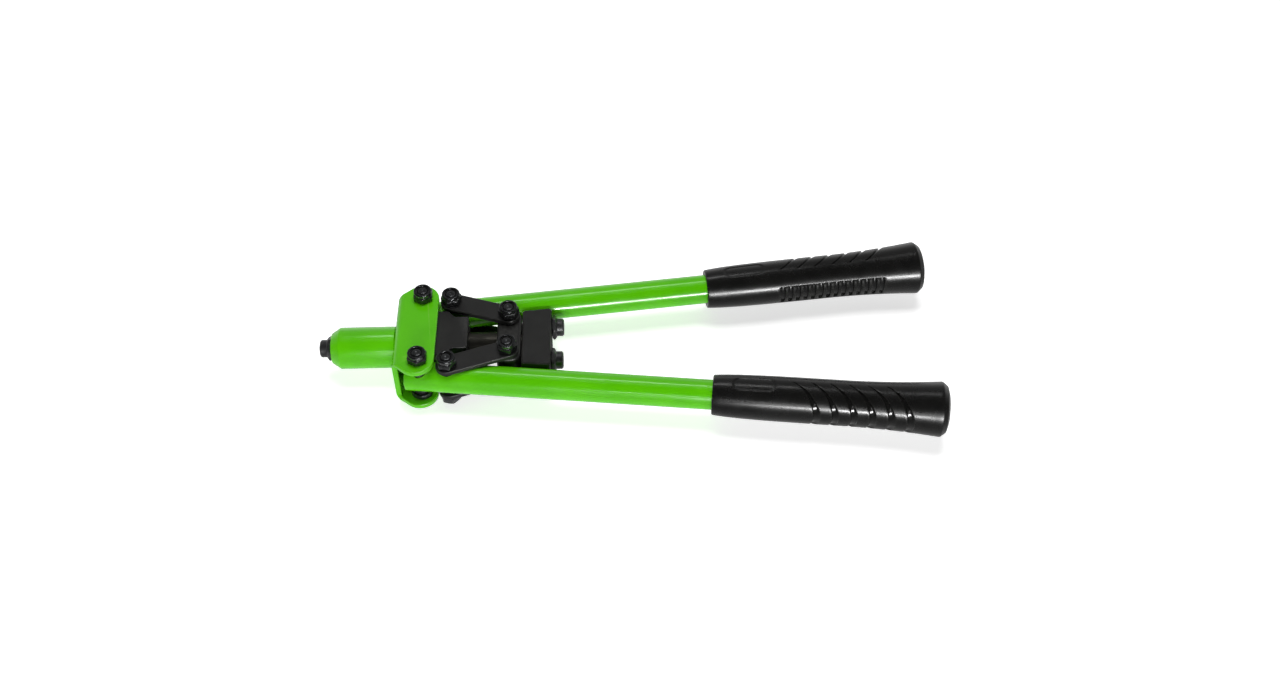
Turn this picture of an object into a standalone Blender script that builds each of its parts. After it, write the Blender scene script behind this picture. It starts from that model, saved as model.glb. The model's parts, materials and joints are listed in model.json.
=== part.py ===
"""Two-handed long-arm hand riveter, lying flat with its handles closed.

The model is laid out in millimetres in the tool's own frame and scaled to metres as each
mesh is made. In that frame the pulling axis is the X axis (nose towards -X, handles towards
+X), the origin lies between the two lever pivots, +Y is the far lever and +Z is up. One
empty, tool_frame, then sets the finished tool down with the origin at the bottom centre of
its bounding box. Every moving piece hangs from an empty on its joint's axis.
"""

import math

import bmesh
import bpy
from mathutils import Vector

# ---------------------------------------------------------------- driving dimensions, mm
MM = 0.001
GAP = 0.3                     # play between pieces that touch or turn in each other

# pulling axis, from the nose to the handles
NOSE_TIP_X = -55.5
BARREL_FRONT_X = -48.95
CONE_END_X = -44.3
CHAMBER_FRONT_X = -45.0
SHOULDER_X = -15.6
WEB_OUTER_X = -14.0
GUIDE_END_X = 25.0
CROSSHEAD_FRONT_X = 40.2
CROSSHEAD_REAR_X = 53.2
HOLDER_FRONT_X = 53.5
HOLDER_REAR_X = 69.4

# barrel and yoke
BARREL_R = 11.25
BARREL_FRONT_R = 8.2
CHAMBER_R = 8.7
NOSE_THREAD_R = 5.0
SPIGOT_R = 8.8
SPIGOT_END_X = -2.0
SHEET = 3.0
YOKE_INNER_Z = 11.5
YOKE_OUTER_Z = YOKE_INNER_Z + SHEET
YOKE_EDGE_X = 8.5
YOKE_END_R = 9.5
YOKE_END_Y = 22.3
YOKE_CHAMFER = 130.0          # angle at which an end arc runs out into the corner cut

# levers
PIVOT_Y = 22.5
LEVER_ANGLE = 6.4             # half of the angle between the closed handles
TUBE_R = 8.0
TUBE_WALL = 1.8
TUBE_OFFSET = 1.07            # the tube's centre line passes this far inside its pivot
TUBE_FRONT = -7.7
TUBE_END = 266.0
LINK_PIVOT = 14.9             # from the lever pivot to the link pivot, along the lever
GRIP_START = 155.3
GRIP_LENGTH = 123.5
GRIP_BORE_DEPTH = 111.5

# links and crosshead
CROSS_PIVOT_X = 46.5
CROSS_PIVOT_Y = 12.5
LINK_R = 6.0
LINK_LOW_Z = TUBE_R + GAP
LINK_THICKNESS = 2.8
LINK_TOP_Z = LINK_LOW_Z + LINK_THICKNESS
CROSSHEAD_HALF_Y = 18.1
CROSSHEAD_HALF_Z = 8.0
SLOT_FREE = 1.25              # travel of a crosshead bolt to each side in its slot

# pull rod, jaws and nosepieces
PULL_TUBE_R = 7.0
PULL_TUBE_BORE_R = 4.0
PULL_SPIGOT_R = 5.5
TUBE_NECK_R = 6.5
JAW_CASE_R = 8.3
JAW_CASE_FRONT_X = -33.3
JAW_CASE_REAR_X = -16.2
NOSE_BORE_R = 1.7
NOSE_FLAT = 12.0
SPARE_NOSE_Y = 12.0
HOLDER_HALF_Z = 6.75

# fasteners: M6, 10 mm across flats
BOLT_R = 3.0
BOLT_HOLE_R = BOLT_R + GAP
BOLT_FLAT = 10.0
BOLT_HEAD = 4.0
NUT_HEIGHT = 5.8
BUSH_R = 4.5
BUSH_HOLE_R = BUSH_R + GAP
SPACER_R = 6.0

FAR, NEAR = 1, -1
SIDES = (("far", FAR), ("near", NEAR))

# ---------------------------------------------------------------- materials
PAINTS = {
    # name: (linear colour, roughness, metallic)
    "green_paint": ((0.09, 0.52, 0.005), 0.28, 0.0),
    "black_paint": ((0.022, 0.022, 0.021), 0.45, 0.0),
    "black_oxide": ((0.028, 0.028, 0.030), 0.32, 0.85),
    "nose_steel": ((0.045, 0.045, 0.045), 0.38, 0.85),
    "oiled_steel": ((0.050, 0.047, 0.040), 0.40, 0.80),
    "grip_rubber": ((0.014, 0.014, 0.013), 0.48, 0.0),
    "bright_steel": ((0.55, 0.55, 0.56), 0.30, 1.0),
}


def make_material(name):
    colour, roughness, metallic = PAINTS[name]
    material = bpy.data.materials.new(name)
    material.use_nodes = True
    shader = material.node_tree.nodes["Principled BSDF"]
    shader.inputs["Base Color"].default_value = (*colour, 1.0)
    shader.inputs["Roughness"].default_value = roughness
    shader.inputs["Metallic"].default_value = metallic
    material.diffuse_color = (*colour, 1.0)
    return material


# ---------------------------------------------------------------- mesh helpers
def clear_scene():
    for obj in list(bpy.data.objects):
        bpy.data.objects.remove(obj, do_unlink=True)


def add_empty(name, x=0.0, y=0.0, turn=0.0, parent=None):
    """An empty on a joint's axis or a frame's origin, turned about Z by degrees."""
    empty = bpy.data.objects.new(name, None)
    empty.empty_display_size = 0.01
    empty.location = Vector((x, y, 0.0)) * MM
    empty.rotation_euler = (0.0, 0.0, math.radians(turn))
    empty.parent = parent
    bpy.context.scene.collection.objects.link(empty)
    return empty


def add_solid(name, points, faces, material, parent, sharp=32.0):
    """One closed solid from points in millimetres in its parent's frame."""
    shape = bmesh.new()
    verts = [shape.verts.new(Vector(point) * MM) for point in points]
    for face in faces:
        shape.faces.new([verts[index] for index in face])
    bmesh.ops.recalc_face_normals(shape, faces=shape.faces)
    mesh = bpy.data.meshes.new(name)
    shape.to_mesh(mesh)
    shape.free()
    mesh.shade_smooth()
    mesh.set_sharp_from_angle(angle=math.radians(sharp))
    if material:
        mesh.materials.append(MATERIALS[material])
    obj = bpy.data.objects.new(name, mesh)
    obj.parent = parent
    bpy.context.scene.collection.objects.link(obj)
    return obj


def shift(sections, along):
    """The same turned sections, moved along their axis."""
    return [(section[0] + along, *section[1:]) for section in sections]


def flip(sections):
    """The same turned sections, pointing the other way along their axis."""
    return [(-section[0], *section[1:]) for section in sections]


def ring_radius(section, angle):
    """Radius of a section at an angle: (along, radius), or (along, flats, 'hex')."""
    if len(section) == 2:
        return section[1]
    off_flat = (math.degrees(angle) + 30.0) % 60.0 - 30.0
    return section[1] / 2 / math.cos(math.radians(off_flat))


def turned(name, sections, material, parent, axis="Z", segments=24, closed=False, centre=(0, 0)):
    """A turned solid. Its sections run round a closed loop, as for a tube, or are capped."""
    points = []
    for section in sections:
        for step in range(segments):
            angle = 2 * math.pi * step / segments
            radius = ring_radius(section, angle)
            across, up = radius * math.cos(angle), radius * math.sin(angle)
            if axis == "X":
                points.append((section[0], centre[0] + across, centre[1] + up))
            else:
                points.append((centre[0] + across, centre[1] + up, section[0]))
    rows = len(sections)
    faces = []
    for row in range(rows if closed else rows - 1):
        low, high = row * segments, (row + 1) % rows * segments
        for step in range(segments):
            after = (step + 1) % segments
            faces.append((low + step, low + after, high + after, high + step))
    if not closed:
        faces.append(range(segments))
        faces.append(range((rows - 1) * segments, rows * segments))
    return add_solid(name, points, faces, material, parent)


def prism(name, outline, low, high, material, parent):
    """A flat outline in X and Y, pulled up from one height to another."""
    count = len(outline)
    points = [(x, y, low) for x, y in outline] + [(x, y, high) for x, y in outline]
    faces = [range(count), range(count, 2 * count)]
    for step in range(count):
        after = (step + 1) % count
        faces.append((step, after, count + after, count + step))
    return add_solid(name, points, faces, material, parent)


def arc(centre, radius, start, end, steps):
    """Points on an arc from one angle to another, in degrees."""
    angles = [math.radians(start + (end - start) * step / steps) for step in range(steps + 1)]
    return [(centre[0] + radius * math.cos(a), centre[1] + radius * math.sin(a)) for a in angles]


def rounded(corners, steps=5):
    """A counter-clockwise outline of corners (x, y, radius), each rounded by an arc."""
    outline = []
    for index, (x, y, radius) in enumerate(corners):
        corner = Vector((x, y))
        before = (Vector(corners[index - 1][:2]) - corner).normalized()
        after = (Vector(corners[(index + 1) % len(corners)][:2]) - corner).normalized()
        half = before.angle(after) / 2
        centre = corner + (before + after).normalized() * (radius / math.sin(half))
        start = corner + before * (radius / math.tan(half)) - centre
        end = corner + after * (radius / math.tan(half)) - centre
        first = math.degrees(math.atan2(start.y, start.x))
        sweep = (math.degrees(math.atan2(end.y, end.x)) - first + 180.0) % 360.0 - 180.0
        outline += arc(centre, radius, first, first + sweep, steps)
    return outline


def stadium(length, radius, steps=8):
    """An outline with round ends, from X = 0 to X = length between its end centres."""
    return arc((length, 0), radius, -90, 90, steps) + arc((0, 0), radius, 90, 270, steps)


def combine(obj, tool, operation):
    """Cuts, joins or intersects a solid with a helper solid, which is then used up."""
    modifier = obj.modifiers.new(operation.lower(), "BOOLEAN")
    modifier.operation = operation
    modifier.solver = "EXACT"
    modifier.object = tool
    bpy.context.view_layer.update()
    evaluated = obj.evaluated_get(bpy.context.evaluated_depsgraph_get())
    result = bpy.data.meshes.new_from_object(evaluated)
    obj.modifiers.remove(modifier)
    result.shade_smooth()
    result.set_sharp_from_angle(angle=math.radians(32.0))
    obj.data = result
    bpy.data.objects.remove(tool, do_unlink=True)


def drill(obj, radius, centre, low, high, axis="Z", segments=24):
    """Cuts a round hole through a solid along Z or X."""
    sections = [(low, radius), (high, radius)]
    hole = turned("drill", sections, None, obj.parent, axis, segments, centre=centre)
    combine(obj, hole, "DIFFERENCE")


def mirrored(outline):
    """An outline reflected in the X axis, still counter-clockwise."""
    return [(x, -y) for x, y in reversed(outline)]


# ---------------------------------------------------------------- fasteners
def hex_bolt(name, parent, head_top_z, end_z, centre=(0, 0)):
    """A hexagon bolt hanging head down, its shank running up to end_z."""
    head_low = head_top_z - BOLT_HEAD
    sections = [
        (head_low, BOLT_FLAT / 2 - 0.5),
        (head_low + 0.5, BOLT_FLAT, "hex"),
        (head_top_z, BOLT_FLAT, "hex"),
        (head_top_z, BOLT_R),
        (end_z - 0.5, BOLT_R),
        (end_z, BOLT_R - 0.5),
    ]
    return turned(name, sections, "black_oxide", parent, centre=centre)


def lock_nut(name, parent, base_z, centre=(0, 0)):
    """A hexagon lock nut with a round collar on top, open for the bolt's end."""
    sections = [
        (0.0, BOLT_FLAT / 2 - 0.3),
        (0.5, BOLT_FLAT, "hex"),
        (3.9, BOLT_FLAT, "hex"),
        (4.5, BOLT_FLAT / 2 - 0.2),
        (5.4, BOLT_FLAT / 2 - 0.3),
        (NUT_HEIGHT, BOLT_FLAT / 2 - 0.8),
        (NUT_HEIGHT, BOLT_HOLE_R),
        (0.0, BOLT_HOLE_R),
    ]
    sections = shift(sections, base_z)
    return turned(name, sections, "black_oxide", parent, closed=True, centre=centre)


def bolt_and_nut(stem, side, parent, grip_z, centre=(0, 0)):
    """A bolt and its nut that clamp plates whose outer faces stand at +-grip_z."""
    nut_base = grip_z + GAP
    hex_bolt(f"{stem}_bolt_{side}", parent, -nut_base, nut_base + NUT_HEIGHT - 0.4, centre)
    lock_nut(f"{stem}_nut_{side}", parent, nut_base, centre)


def sleeve(name, parent, half_z, centre=(0, 0)):
    """A plain steel bush standing across a lever tube."""
    sections = [(-half_z, BUSH_R), (half_z, BUSH_R), (half_z, BOLT_HOLE_R), (-half_z, BOLT_HOLE_R)]
    turned(name, sections, "black_oxide", parent, closed=True, centre=centre)


# ---------------------------------------------------------------- head: barrel, yoke, guide
def nosepiece_sections():
    """A nosepiece along +X from its tip: round tip, hexagon flange, threaded shank, tail."""
    return [
        (0.0, 4.2), (0.6, 4.8), (3.9, 4.8), (4.2, 5.3),
        (5.2, NOSE_FLAT, "hex"), (6.25, NOSE_FLAT, "hex"),
        (6.25, NOSE_THREAD_R - GAP), (10.6, NOSE_THREAD_R - GAP),
        (10.6, 3.4), (13.0, 3.4), (13.4, 3.0),
        (13.4, NOSE_BORE_R), (0.6, NOSE_BORE_R), (0.0, NOSE_BORE_R + 0.6),
    ]


def make_barrel(frame):
    sections = [
        (BARREL_FRONT_X, BARREL_FRONT_R),
        (CONE_END_X, BARREL_R),
        (WEB_OUTER_X - GAP, BARREL_R),
        (WEB_OUTER_X - GAP, SPIGOT_R),
        (SPIGOT_END_X, SPIGOT_R),
        (SPIGOT_END_X, PULL_TUBE_R + GAP),
        (SHOULDER_X, PULL_TUBE_R + GAP),
        (SHOULDER_X, CHAMBER_R),
        (CHAMBER_FRONT_X + 1.6, CHAMBER_R),
        (CHAMBER_FRONT_X, CHAMBER_R - 1.3),
        (CHAMBER_FRONT_X, NOSE_THREAD_R),
        (BARREL_FRONT_X, NOSE_THREAD_R),
    ]
    turned("barrel", sections, "green_paint", frame, "X", 32, closed=True)


def yoke_channel():
    """The yoke's U section in X and Z, web at -X, with rounded bends."""
    outer, inner = 3.5, 1.2
    web_inner = WEB_OUTER_X + SHEET
    reach = YOKE_EDGE_X + 5.0
    top, inside = YOKE_OUTER_Z, YOKE_INNER_Z
    upper = [(reach, inside), (reach, top)]
    upper += arc((WEB_OUTER_X + outer, top - outer), outer, 90, 180, 5)
    lower = [(x, -z) for x, z in reversed(upper)]
    hollow = arc((web_inner + inner, -inside + inner), inner, 270, 180, 4)
    hollow += arc((web_inner + inner, inside - inner), inner, 180, 90, 4)
    return upper + lower + hollow


def yoke_plan():
    """The yoke's outline from above: round ends, and a corner cut towards the web."""
    end = arc((YOKE_EDGE_X - YOKE_END_R, YOKE_END_Y), YOKE_END_R, 0, YOKE_CHAMFER, 14)
    x, y = end[-1]
    slope = math.tan(math.radians(YOKE_CHAMFER - 90.0))
    beyond = WEB_OUTER_X - 1.0
    far_half = end + [(beyond, y - slope * (x - beyond))]
    return far_half + mirrored(far_half)


def make_yoke(frame):
    channel = yoke_channel()
    count = len(channel)
    half = YOKE_END_Y + YOKE_END_R + 2.0
    points = [(x, -half, z) for x, z in channel] + [(x, half, z) for x, z in channel]
    faces = [range(count), range(count, 2 * count)]
    for step in range(count):
        after = (step + 1) % count
        faces.append((step, after, count + after, count + step))
    yoke = add_solid("yoke", points, faces, "green_paint", frame)
    beyond = YOKE_OUTER_Z + 1.0
    plan = prism("plan", yoke_plan(), -beyond, beyond, None, frame)
    combine(yoke, plan, "INTERSECT")
    drill(yoke, SPIGOT_R + GAP, (0, 0), WEB_OUTER_X - 2, WEB_OUTER_X + SHEET + 2, "X")
    for _, side in SIDES:
        drill(yoke, BOLT_HOLE_R, (0, side * PIVOT_Y), -beyond, beyond)


def make_guide_block(frame):
    """The T-shaped block that screws on the barrel's spigot and guides the pull tube."""
    front, end = WEB_OUTER_X + SHEET + GAP, GUIDE_END_X
    waist, head, tail = 10.2, 15.6, 11.3
    core = rounded([(front, -waist, 0.5), (13, -waist, 0.5), (14, -tail, 0.5), (end, -tail, 1.3),
                    (end, tail, 1.3), (14, tail, 0.5), (13, waist, 0.5), (front, waist, 0.5)], 3)
    clear = front + 1.5           # behind the yoke's inner bends
    plate = rounded([(clear, -head, 1.0), (13.5, -head, 1.5), (17.2, -tail, 1.3), (end, -tail, 1.3),
                     (end, tail, 1.3), (17.2, tail, 1.3), (13.5, head, 1.5), (clear, head, 1.0)], 3)
    under = LINK_LOW_Z + 0.3
    block = prism("guide_block", core, -under, under, "black_paint", frame)
    for low, high in ((LINK_LOW_Z, LINK_TOP_Z), (-LINK_TOP_Z, -LINK_LOW_Z)):
        combine(block, prism("flange", plate, low, high, None, frame), "UNION")
    drill(block, SPIGOT_R + GAP, (0, 0), front - 2, SPIGOT_END_X + GAP, "X")
    drill(block, PULL_TUBE_R + GAP, (0, 0), SPIGOT_END_X - 1, end + 2, "X")


def make_head(frame):
    make_barrel(frame)
    make_yoke(frame)
    make_guide_block(frame)
    nose = shift(nosepiece_sections(), NOSE_TIP_X)
    turned("nosepiece_fitted", nose, "nose_steel", frame, "X", closed=True)
    for name, side in SIDES:
        bolt_and_nut("lever_pivot", name, frame, YOKE_OUTER_Z, (0, side * PIVOT_Y))


# ---------------------------------------------------------------- levers
def grip_radius(along):
    """Outer radius of a grip at a distance from its front end: a swell, a waist, a flare."""
    swell = 12.05 - 1.45 * math.exp(-along / 14.0)
    flare = 2.5 * max(0.0, (along - 68.0) / 51.0) ** 2
    return swell + flare


def make_grip(name, parent, centre_y):
    """A moulded sleeve, closed at its rear end, turned about the lever tube."""
    stations = 9
    shoulder = GRIP_LENGTH - 4.5
    outer = [(shoulder * step / stations, grip_radius(shoulder * step / stations))
             for step in range(stations + 1)]
    outer[0] = (0.0, outer[0][1] - 0.4)
    outer += [(GRIP_LENGTH - 1.0, 12.2), (GRIP_LENGTH - 0.3, 9.0), (GRIP_LENGTH, 4.0)]
    bore = [(GRIP_BORE_DEPTH, 5.0), (GRIP_BORE_DEPTH, TUBE_R + GAP), (0.0, TUBE_R + GAP)]
    sections = shift(list(reversed(outer)) + list(reversed(bore)), GRIP_START)
    turned(name, sections, "grip_rubber", parent, "X", 28, centre=(centre_y, 0))


def make_lever(name, side, frame):
    """A lever about its pivot empty; its local X axis runs along the tube to the grip."""
    axis = add_empty(f"lever_{name}_axis", 0, side * PIVOT_Y, side * LEVER_ANGLE, frame)
    centre_y = -side * TUBE_OFFSET
    inner = TUBE_R - TUBE_WALL
    sections = [(TUBE_FRONT, TUBE_R - 0.5), (TUBE_FRONT + 0.5, TUBE_R), (TUBE_END, TUBE_R),
                (TUBE_END, inner), (TUBE_FRONT, inner)]
    tube = turned(f"lever_tube_{name}", sections, "green_paint", axis, "X", 32, True, (centre_y, 0))
    drill(tube, BUSH_HOLE_R, (0, 0), -TUBE_R - 2, TUBE_R + 2)
    drill(tube, BUSH_HOLE_R, (LINK_PIVOT, centre_y), -TUBE_R - 2, TUBE_R + 2)
    make_grip(f"grip_{name}", axis, centre_y)
    sleeve(f"pivot_bush_{name}", axis, YOKE_INNER_Z - GAP)
    sleeve(f"link_bush_{name}", axis, TUBE_R, (LINK_PIVOT, centre_y))
    low, high = TUBE_R + GAP, YOKE_INNER_Z - GAP
    for level, (start, end) in (("top", (low, high)), ("bottom", (-high, -low))):
        ring = [(start, SPACER_R), (end, SPACER_R), (end, BUSH_HOLE_R), (start, BUSH_HOLE_R)]
        turned(f"spacer_{name}_{level}", ring, "black_oxide", axis, closed=True)


# ---------------------------------------------------------------- links
def link_pivot(side):
    """The link pivot's place in the tool frame when the handles are closed."""
    turn = math.radians(side * LEVER_ANGLE)
    along, across = LINK_PIVOT, -side * TUBE_OFFSET
    x = along * math.cos(turn) - across * math.sin(turn)
    y = along * math.sin(turn) + across * math.cos(turn)
    return x, side * PIVOT_Y + y


def make_links(name, side, frame):
    """A pair of link plates about their pivot on the lever, with both of their bolts."""
    x, y = link_pivot(side)
    run, rise = CROSS_PIVOT_X - x, side * CROSS_PIVOT_Y - y
    length = math.hypot(run, rise)
    axis = add_empty(f"links_{name}_axis", x, y, math.degrees(math.atan2(rise, run)), frame)
    outline = stadium(length, LINK_R)
    levels = (("top", LINK_LOW_Z, LINK_TOP_Z), ("bottom", -LINK_TOP_Z, -LINK_LOW_Z))
    for level, low, high in levels:
        plate = prism(f"link_plate_{name}_{level}", outline, low, high, "black_paint", axis)
        for centre in ((0, 0), (length, 0)):
            drill(plate, BOLT_HOLE_R, centre, low - 1, high + 1)
    bolt_and_nut("link", name, axis, LINK_TOP_Z, (0, 0))
    bolt_and_nut("crosshead", name, axis, LINK_TOP_Z, (length, 0))


# ---------------------------------------------------------------- puller
def make_crosshead(axis, x0):
    """The block between the links, with a slot for each crosshead bolt."""
    front, rear = CROSSHEAD_FRONT_X - x0, CROSSHEAD_REAR_X - x0
    half, corner = CROSSHEAD_HALF_Y, 5.4
    outline = rounded([(front, -half, corner), (rear, -half, corner),
                       (rear, half, corner), (front, half, corner)], 6)
    block = prism("crosshead", outline, -CROSSHEAD_HALF_Z, CROSSHEAD_HALF_Z, "black_paint", axis)
    drill(block, PULL_TUBE_R + GAP, (0, 0), front - 1, rear + 1, "X")
    reach = CROSSHEAD_HALF_Z + 1
    for _, side in SIDES:
        slot = [(x - SLOT_FREE, y + side * CROSS_PIVOT_Y)
                for x, y in stadium(2 * SLOT_FREE, BOLT_R + 2 * GAP)]
        combine(block, prism("slot", slot, -reach, reach, None, axis), "DIFFERENCE")


def make_holder(axis, x0):
    """The rear block: stop for the levers, lock nut of the crosshead, home of two spares."""
    front, rear = HOLDER_FRONT_X - x0, HOLDER_REAR_X - x0
    slope = math.tan(math.radians(LEVER_ANGLE))
    inner_edge = PIVOT_Y - (TUBE_OFFSET + TUBE_R) / math.cos(math.radians(LEVER_ANGLE))
    front_half = inner_edge + slope * HOLDER_FRONT_X - GAP
    rear_half = inner_edge + slope * HOLDER_REAR_X - GAP
    outline = rounded([(front, -front_half, 0.8), (rear, -rear_half, 1.5),
                       (rear, rear_half, 1.5), (front, front_half, 0.8)], 4)
    block = prism("nose_holder", outline, -HOLDER_HALF_Z, HOLDER_HALF_Z, "black_paint", axis)
    drill(block, PULL_SPIGOT_R + GAP, (0, 0), front - 1, rear + 1, "X")
    for _, side in SIDES:
        drill(block, NOSE_THREAD_R, (side * SPARE_NOSE_Y, 0), rear - 7.4, rear + 1, "X")


def make_pull_tube(axis, x0):
    """The hollow rod from the jaw case to the holder; spent mandrels leave through it."""
    shoulder, step = SHOULDER_X - GAP, HOLDER_FRONT_X - 0.5
    spring_seat = PULL_TUBE_BORE_R + 1.3
    sections = [
        (-20.0, TUBE_NECK_R), (shoulder, TUBE_NECK_R),
        (shoulder, PULL_TUBE_R), (step, PULL_TUBE_R),
        (step, PULL_SPIGOT_R), (HOLDER_REAR_X + GAP, PULL_SPIGOT_R),
        (HOLDER_REAR_X + GAP, PULL_TUBE_BORE_R), (-9.2, PULL_TUBE_BORE_R),
        (-9.2, spring_seat), (-20.0, spring_seat),
    ]
    turned("pull_tube", shift(sections, -x0), "oiled_steel", axis, "X", closed=True)


def make_jaw_case(axis, x0):
    """The sleeve whose inner cone closes the jaws; it screws on the pull tube's neck."""
    bore = TUBE_NECK_R + GAP
    sections = [
        (JAW_CASE_FRONT_X, 7.0), (JAW_CASE_FRONT_X + 1.3, JAW_CASE_R),
        (JAW_CASE_REAR_X, JAW_CASE_R), (JAW_CASE_REAR_X, bore),
        (-25.0, bore), (-32.8, 4.2), (JAW_CASE_FRONT_X, 4.2),
    ]
    turned("jaw_case", shift(sections, -x0), "bright_steel", axis, "X", closed=True)


def make_spring(axis, x0):
    """The coil spring that pushes the jaws shut, seated in the pull tube."""
    turns, per_turn, sides = 6, 12, 5
    start, end, coil_r, wire_r = -21.8, -9.9, 4.45, 0.45
    points = []
    for step in range(turns * per_turn + 1):
        part = step / (turns * per_turn)
        angle = 2 * math.pi * turns * part
        for side in range(sides):
            around = 2 * math.pi * side / sides
            radius = coil_r + wire_r * math.cos(around)
            along = start + (end - start) * part + wire_r * math.sin(around) - x0
            points.append((along, radius * math.cos(angle), radius * math.sin(angle)))
    faces = [range(sides), range(len(points) - sides, len(points))]
    for low in range(0, len(points) - sides, sides):
        for side in range(sides):
            after = (side + 1) % sides
            faces.append((low + side, low + after, low + sides + after, low + sides + side))
    add_solid("jaw_spring", points, faces, "bright_steel", axis)


def make_puller(frame):
    """Everything that the crosshead pulls, on one slide along the pulling axis."""
    x0 = CROSS_PIVOT_X
    axis = add_empty("puller_axis", x0, 0, 0, frame)
    make_crosshead(axis, x0)
    make_holder(axis, x0)
    make_pull_tube(axis, x0)
    make_jaw_case(axis, x0)
    make_spring(axis, x0)
    flange_back = nosepiece_sections()[5][0]
    tip_x = HOLDER_REAR_X + GAP + flange_back - x0
    spare = shift(flip(nosepiece_sections()), tip_x)
    for name, side in SIDES:
        centre = (side * SPARE_NOSE_Y, 0)
        turned(f"nosepiece_spare_{name}", spare, "nose_steel", axis, "X", 24, True, centre)


# ---------------------------------------------------------------- jaws
def make_jaw(name, start, axis, x0):
    """One of three jaws: a wedge of a cone with a small bore, over a third of a turn."""
    stations = ((-32.4, 3.95, 1.2), (-25.4, 6.3, 1.2), (-24.6, 6.3, 2.4))
    sweep, steps = 114.0, 8
    angles = [math.radians(start + sweep * step / steps) for step in range(steps + 1)]
    points = []
    for x, outer, inner in stations:
        for radius in (outer, inner):
            points += [(x - x0, radius * math.cos(a), radius * math.sin(a)) for a in angles]
    row = steps + 1
    faces = []
    for station in range(len(stations) - 1):
        here, there = 2 * row * station, 2 * row * (station + 1)
        for step in range(steps):
            faces.append((here + step, here + step + 1, there + step + 1, there + step))
            low, high = here + row + step, there + row + step
            faces.append((low, high, high + 1, low + 1))
        for side in (0, steps):
            faces.append((here + side, there + side, there + row + side, here + row + side))
    for base in (0, 2 * row * (len(stations) - 1)):
        for step in range(steps):
            low, high = base + step, base + row + step
            faces.append((low, low + 1, high + 1, high))
    add_solid(name, points, faces, "bright_steel", axis)


def make_jaw_set(frame):
    """Three jaws and the pusher behind them, which slide together in the jaw case."""
    x0 = JAW_CASE_FRONT_X
    axis = add_empty("jaw_set_axis", x0, 0, 0, frame)
    for index, letter in enumerate("abc"):
        make_jaw(f"jaw_{letter}", 120.0 * index + 33.0, axis, x0)
    pusher = [(-24.3, 6.2), (-22.6, 6.2), (-22.6, 3.6), (-19.5, 3.6), (-19.5, 2.4), (-24.3, 2.4)]
    turned("jaw_pusher", shift(pusher, -x0), "bright_steel", axis, "X", closed=True)


# ---------------------------------------------------------------- the whole tool
def set_down(frame):
    """Moves the tool so that the origin is its bounding box's bottom centre."""
    bpy.context.view_layer.update()
    corners = [obj.matrix_world @ vertex.co for obj in bpy.data.objects if obj.type == "MESH"
               for vertex in obj.data.vertices]
    low = [min(corner[axis] for corner in corners) for axis in range(3)]
    high = [max(corner[axis] for corner in corners) for axis in range(3)]
    frame.location = (-(low[0] + high[0]) / 2, -(low[1] + high[1]) / 2, -low[2])
    bpy.context.view_layer.update()


def main():
    frame = add_empty("tool_frame")
    make_head(frame)
    for name, side in SIDES:
        make_lever(name, side, frame)
        make_links(name, side, frame)
    make_puller(frame)
    make_jaw_set(frame)
    set_down(frame)


clear_scene()
MATERIALS = {paint: make_material(paint) for paint in PAINTS}
main()
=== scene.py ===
"""The finished look of a two-handed long-arm hand riveter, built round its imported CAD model.

Shapes are laid out in millimetres in local frames taken from the CAD model: the tool's own
frame (X along the pulling axis, origin between the lever pivots), one frame along each lever
and one along each pair of links. Each piece stands for the CAD node of the same name, rides
on that node's body, and adds the fillets, moulded grip detail and finishes of the real tool.
"""

import json
import math
from functools import partial

import bmesh
import bpy
from mathutils import Matrix, Vector
from mathutils.geometry import tessellate_polygon

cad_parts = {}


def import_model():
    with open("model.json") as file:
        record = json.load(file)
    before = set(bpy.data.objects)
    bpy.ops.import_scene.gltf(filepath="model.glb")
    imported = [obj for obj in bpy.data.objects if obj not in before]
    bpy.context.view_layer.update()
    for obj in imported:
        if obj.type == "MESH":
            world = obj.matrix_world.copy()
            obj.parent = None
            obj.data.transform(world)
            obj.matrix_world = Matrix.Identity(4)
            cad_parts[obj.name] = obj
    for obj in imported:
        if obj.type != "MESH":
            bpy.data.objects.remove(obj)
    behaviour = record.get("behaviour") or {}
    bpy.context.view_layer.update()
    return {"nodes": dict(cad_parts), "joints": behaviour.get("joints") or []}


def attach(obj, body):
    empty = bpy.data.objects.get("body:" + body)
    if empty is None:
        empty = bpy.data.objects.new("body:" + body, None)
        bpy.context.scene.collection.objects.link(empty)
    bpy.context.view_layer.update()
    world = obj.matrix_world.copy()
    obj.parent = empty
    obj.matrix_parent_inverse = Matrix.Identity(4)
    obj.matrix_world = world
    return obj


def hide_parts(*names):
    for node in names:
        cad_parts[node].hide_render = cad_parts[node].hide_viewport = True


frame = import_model()

MM = 0.001
ROUND = 96                    # segments round a full turn
SIDES = (("far", 1), ("near", -1))
GROOVE = "groove"             # mesh attribute: 1 on the floor of a grip's finger scoops
BOLT_HOLE = 3.3               # radii of the holes that pieces share
BUSH_HOLE = 4.8
PULL_TUBE_HOLE = 7.3
SPIGOT_HOLE = 9.1
NOSE_THREAD = 5.0
FLATS = 10.0                  # of the M6 bolt heads and nuts
BOLT_HEAD = 4.0
TURNED_SHARP = 33.0           # degrees from which an edge of a turned piece stays sharp


# ---------------------------------------------------------------- frames and sizes from CAD
def joint_place(name):
    """A hinge's place at rest, in millimetres."""
    joint = next(joint for joint in frame["joints"] if joint["name"] == name)
    return Vector(joint["pos_m"]) / MM


def local_frame(origin, heading=0.0):
    """Matrix from a local frame in millimetres, turned about Z, to the row frame in metres."""
    turn = Matrix.Rotation(heading, 4, "Z")
    return Matrix.Scale(MM, 4) @ Matrix.Translation(origin) @ turn


def node_points(node, place):
    back = place.inverted()
    return [back @ vertex.co for vertex in frame["nodes"][node].data.vertices]


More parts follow.
